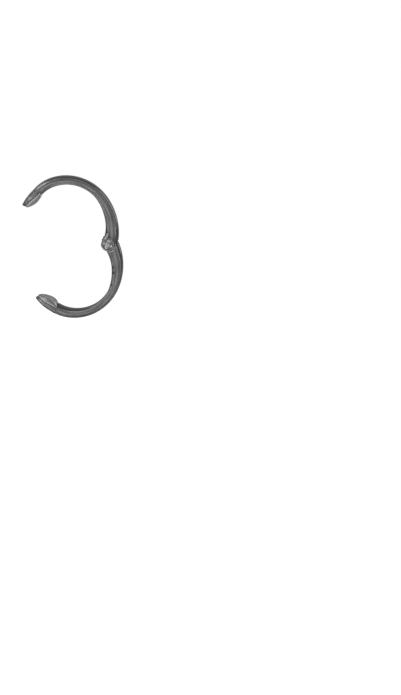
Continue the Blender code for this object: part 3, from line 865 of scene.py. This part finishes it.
def turned(profile):
    """A closed ring or a solid turned about the pin from (radius, place) points."""
    shape = bmesh.new()
    rings = []
    for radius, place in profile:
        points = circle(radius, place) if radius > 0.0 else [(0.0, place, 0.0)]
        rings.append([shape.verts.new(point) for point in points])
    pairs = list(zip(rings, rings[1:]))
    if profile[0][0] > 0.0:
        pairs.append((rings[-1], rings[0]))
    for near, far in pairs:
        for step in range(ROUND_STEPS):
            following = (step + 1) % ROUND_STEPS
            corners = [near[step % len(near)], far[step % len(far)],
                       far[following % len(far)], near[following % len(near)]]
            shape.faces.new(list(dict.fromkeys(corners)))
    return finished_mesh(shape, "turned")


def washer(outer, low, high):
    """A flat ring on the pin, with broken edges."""
    inner, edge = BORE_RADIUS, WASHER_EDGE
    return turned([(inner + edge, low), (outer - edge, low),
                   (outer, low + edge), (outer, high - edge),
                   (outer - edge, high), (inner + edge, high),
                   (inner, high - edge), (inner, low + edge)])


def slip_plastic(name):
    """Natural white slip plastic with the fine lines of rolled sheet."""
    material, tree, shader = start_material(name, {})
    polish = polish_on(tree, 700.0, 1800.0)
    feed(tree, shader, {
        "Base Color": ramp(tree, polish["Flow"], (
            (0.0, (0.60, 0.60, 0.57, 1.0)), (1.0, (0.76, 0.76, 0.74, 1.0)))),
        "Roughness": spread(tree, polish["Scratches"], to_low=0.38, to_high=0.55)})
    return material


washer_plastic = slip_plastic("white_slip_plastic")
thrust_low = TONGUE_FACE + FACE_GAP
thrust_high = thrust_low + THRUST_THICKNESS
hung(washer(THRUST_RADIUS, -thrust_high, -thrust_low), "near_slip_washer", upper_lean,
     "upper", "thrust_washer_near", washer_plastic)
hung(washer(THRUST_RADIUS, thrust_low, thrust_high), "far_slip_washer", upper_lean,
     "upper", "thrust_washer_far", washer_plastic)

# Wave washer and plain washer. The waved ring is stamped from dark oiled spring
# strip, rubbed bright on its crests. It goes under the rivet's head and keeps the
# hinge stiff. The flat ring, of bright plated strip, goes under the cap behind.
WASHER_RADIUS = 0.0035
WASHER_SHEET = 0.0003
WAVE_RISE = 0.0003
WAVES = 4
WAVE_STEPS = 120
RING_FACE_STEPS = 6
HEAD_CLEAR_RADIUS = 0.0016
# Shares of a wave's height where its crest starts to be rubbed, and is bright
CREST_PLACES = (0.1, 0.9)


def wave_ring():
    """The waved ring, its middle line rising and falling four times a turn."""
    middle = -(counterbore_floor + FACE_GAP + WASHER_SHEET / 2 + WAVE_RISE)
    half = WASHER_SHEET / 2
    width = WASHER_RADIUS - BORE_RADIUS - 2 * WASHER_EDGE
    face = [BORE_RADIUS + WASHER_EDGE + width * step / RING_FACE_STEPS
            for step in range(RING_FACE_STEPS + 1)]
    corners = [(radius, -half) for radius in face]
    corners += [(WASHER_RADIUS, -half + WASHER_EDGE), (WASHER_RADIUS, half - WASHER_EDGE)]
    corners += [(radius, half) for radius in reversed(face)]
    corners += [(BORE_RADIUS, half - WASHER_EDGE), (BORE_RADIUS, -half + WASHER_EDGE)]
    sections = []
    for step in range(WAVE_STEPS):
        angle = 2 * math.pi * step / WAVE_STEPS
        centre = middle - WAVE_RISE * math.cos(WAVES * angle)
        along, up = math.cos(angle), math.sin(angle)
        sections.append([Vector((radius * along, centre + place, radius * up))
                         for radius, place in corners])
    ring = loft(sections, closed_ring=True)
    crest = ring.attributes.new("crest", "FLOAT", "POINT")
    for vertex in ring.vertices:
        angle = math.atan2(vertex.co.z, vertex.co.x)
        radius = math.hypot(vertex.co.x, vertex.co.z)
        high = ease(math.cos(WAVES * angle), *CREST_PLACES)
        clear = ease(radius, HEAD_CLEAR_RADIUS, WASHER_RADIUS - WASHER_SHEET)
        crest.data[vertex.index].value = high * clear
    return ring


def bright_steel(name, dull, bright, lowest, highest, dark=None):
    """Plated steel of two greys, its roughness from lowest to highest in scratches.

    Where dark is given, the steel has that colour and is bright only on its crests.
    """
    material, tree, shader = start_material(name, {"Metallic": 1.0})
    polish = polish_on(tree, 800.0, 2500.0)
    colour = ramp(tree, polish["Flow"], ((0.0, grey(dull)), (1.0, grey(bright))))
    if dark is not None:
        colour = blended(tree, attribute(tree, "crest"), dark, colour)
    feed(tree, shader, {
        "Base Color": colour,
        "Roughness": spread(tree, polish["Scratches"], to_low=lowest, to_high=highest),
        "Normal": bumped(tree, polish["Height"], strength=0.3, distance=0.00005)})
    return material


strip_steel = bright_steel("bright_steel_strip", dull=0.46, bright=0.70,
                           lowest=0.16, highest=0.34)
spring_strip = bright_steel("dark_spring_strip", dull=0.30, bright=0.52,
                            lowest=0.30, highest=0.45, dark=(0.13, 0.13, 0.132, 1.0))
sheet_low = counterbore_floor + FACE_GAP
sheet_high = sheet_low + WASHER_SHEET
hung(wave_ring(), "waved_ring", upper_lean, "upper", "wave_washer",
     spring_strip)
hung(washer(WASHER_RADIUS, sheet_low, sheet_high), "flat_ring", upper_lean, "upper",
     "plain_washer", strip_steel)

# Rivet and cap. The rivet is turned from bright steel with a low domed head on the
# near side; its shank ends in a blind cap that is pressed over it on the far side.
PIN_RADIUS = 0.0010
HEAD_RADIUS = 0.0015
HEAD_HEIGHT = 0.0007
HEAD_RIM = 0.00023
CAP_RADIUS = 0.0020
CAP_HEIGHT = 0.0010
CAP_RIM = 0.0005
CAP_SOCKET_DEPTH = 0.0005
DOME_STEPS = 10

head_under = counterbore_floor + FACE_GAP + WASHER_SHEET + 2 * WAVE_RISE + FACE_GAP
cap_under = sheet_high + FACE_GAP
shank_end = cap_under + CAP_SOCKET_DEPTH - FACE_GAP


def dome(radius, edge_place, crown_place):
    """Points of a dome's profile, from its crown on the axis to its edge."""
    points = [(0.0, crown_place)]
    height = crown_place - edge_place
    for step in range(1, DOME_STEPS + 1):
        angle = math.radians(90) * step / DOME_STEPS
        points.append((radius * math.sin(angle), edge_place + height * math.cos(angle)))
    return points


turned_steel = bright_steel("bright_turned_steel", dull=0.20, bright=0.34,
                            lowest=0.24, highest=0.40)
rivet_profile = dome(HEAD_RADIUS, -head_under - HEAD_RIM, -head_under - HEAD_HEIGHT)
rivet_profile += [(HEAD_RADIUS, -head_under), (PIN_RADIUS, -head_under),
                  (PIN_RADIUS, shank_end), (0.0, shank_end)]
cap_profile = [(0.0, shank_end + FACE_GAP), (BORE_RADIUS, shank_end + FACE_GAP),
               (BORE_RADIUS, cap_under), (CAP_RADIUS, cap_under)]
cap_profile += dome(CAP_RADIUS, cap_under + CAP_RIM, cap_under + CAP_HEIGHT)[::-1]
hung(turned(rivet_profile), "domed_rivet", upper_lean, "upper", "hinge_pin",
     turned_steel)
hung(turned(cap_profile), "domed_cap", upper_lean, "upper", "rivet_cap",
     turned_steel)

# Floor. A plain white disc well below the hanging hook. It keeps the hook's shadow,
# and looks white wherever the camera, gloss or clear plastic shows it.
FLOOR_DROP = 0.36
FLOOR_RADIUS = 1.6
FLOOR_GLOW = 0.75


def room_rays(tree):
    """1 for the rays that show the room: straight, mirrored, or bent by plastic."""
    ray = add_node(tree, "LightPath", {}).outputs
    bounced = maths(tree, "MAXIMUM", ray["Is Glossy Ray"], ray["Is Transmission Ray"])
    return maths(tree, "MAXIMUM", ray["Is Camera Ray"], bounced)


floor_mesh = bpy.data.meshes.new("floor")
floor_shape = bmesh.new()
bmesh.ops.create_circle(floor_shape, cap_ends=True, segments=64, radius=FLOOR_RADIUS)
floor_shape.to_mesh(floor_mesh)
floor_shape.free()
floor = bpy.data.objects.new("floor", floor_mesh)
bpy.context.scene.collection.objects.link(floor)
floor.location = (0.0, 0.0, cad_box[0].z - FLOOR_DROP)
floor_white, floor_tree, floor_shader = start_material("floor_white", {
    "Base Color": grey(0.92), "Roughness": 0.9, "Specular IOR Level": 0.0,
    "Emission Color": grey(1.0)})
feed(floor_tree, floor_shader, {
    "Emission Strength": maths(floor_tree, "MULTIPLY", room_rays(floor_tree), FLOOR_GLOW)})
floor_mesh.materials.append(floor_white)

# Light. A plain white room and five soft lamps: a square one high on the left for
# the glints on the plastic, and a tall one on each side in front and behind.
ROOM_LEVEL = 0.30

world = bpy.data.worlds.new("white_room")
bpy.context.scene.world = world
world.use_nodes = True
feed(world.node_tree, world.node_tree.nodes["Background"], {
    "Color": grey(1.0),
    "Strength": spread(world.node_tree, room_rays(world.node_tree), to_low=ROOM_LEVEL)})


def soft_lamp(name, place, size, power, target):
    """A soft lamp of a width and a height that faces a point."""
    lamp = bpy.data.lights.new(name, "AREA")
    lamp.shape = "RECTANGLE"
    lamp.size, lamp.size_y = size
    lamp.energy = power
    thing = bpy.data.objects.new(name, lamp)
    bpy.context.scene.collection.objects.link(thing)
    thing.location = place
    thing.rotation_euler = (Vector(target) - Vector(place)).to_track_quat("-Z", "Y").to_euler()


hook_middle = (cad_box[0] + cad_box[1]) / 2
soft_lamp("key_lamp", (-0.62, -0.62, 0.58), (0.42, 0.42), 4.5, hook_middle)
soft_lamp("left_lamp", (-0.80, -0.62, 0.00), (0.30, 0.80), 2.6, hook_middle)
soft_lamp("right_lamp", (0.90, -0.60, 0.10), (0.30, 0.80), 2.6, hook_middle)
soft_lamp("back_left_lamp", (-0.80, 0.80, 0.30), (0.50, 0.80), 4.6, hook_middle)
soft_lamp("back_right_lamp", (0.80, 0.80, 0.30), (0.50, 0.80), 4.6, hook_middle)

# Camera. At the photograph's viewing angle, a little above the hook and to its
# right, aimed so that the hook comes high on the left of the upright picture.
FRAME_WIDTH, FRAME_HEIGHT = 401, 695
PIN_IN_FRAME = (108.5, 242.8)
PIXELS_PER_METRE = 1350.0
CAMERA_DISTANCE = 1.8
CAMERA_AZIMUTH = math.radians(5.9)
CAMERA_ELEVATION = math.radians(12.5)
SENSOR_SIZE = 36.0

camera_data = bpy.data.cameras.new("camera")
camera = bpy.data.objects.new("camera", camera_data)
bpy.context.scene.collection.objects.link(camera)
bpy.context.scene.camera = camera
half_height = FRAME_HEIGHT / 2 / PIXELS_PER_METRE
camera_data.sensor_width = SENSOR_SIZE
camera_data.lens = SENSOR_SIZE / 2 * CAMERA_DISTANCE / half_height
camera_data.clip_start = 0.05
camera_data.clip_end = 30.0
back = Vector((math.sin(CAMERA_AZIMUTH) * math.cos(CAMERA_ELEVATION),
               -math.cos(CAMERA_AZIMUTH) * math.cos(CAMERA_ELEVATION), math.sin(CAMERA_ELEVATION)))
camera.location = PIN_PLACE + back * CAMERA_DISTANCE
rightward = (FRAME_WIDTH / 2 - PIN_IN_FRAME[0]) / PIXELS_PER_METRE
downward = (FRAME_HEIGHT / 2 - PIN_IN_FRAME[1]) / PIXELS_PER_METRE
facing = (-back).to_track_quat("-Z", "Y")
aim = PIN_PLACE + facing @ Vector((rightward, -downward, 0.0))
swing_to_aim = (-back).rotation_difference(aim - camera.location)
camera.rotation_euler = (swing_to_aim @ facing).to_euler()

# Colours are shown as they are written.
bpy.context.scene.view_settings.view_transform = "Standard"
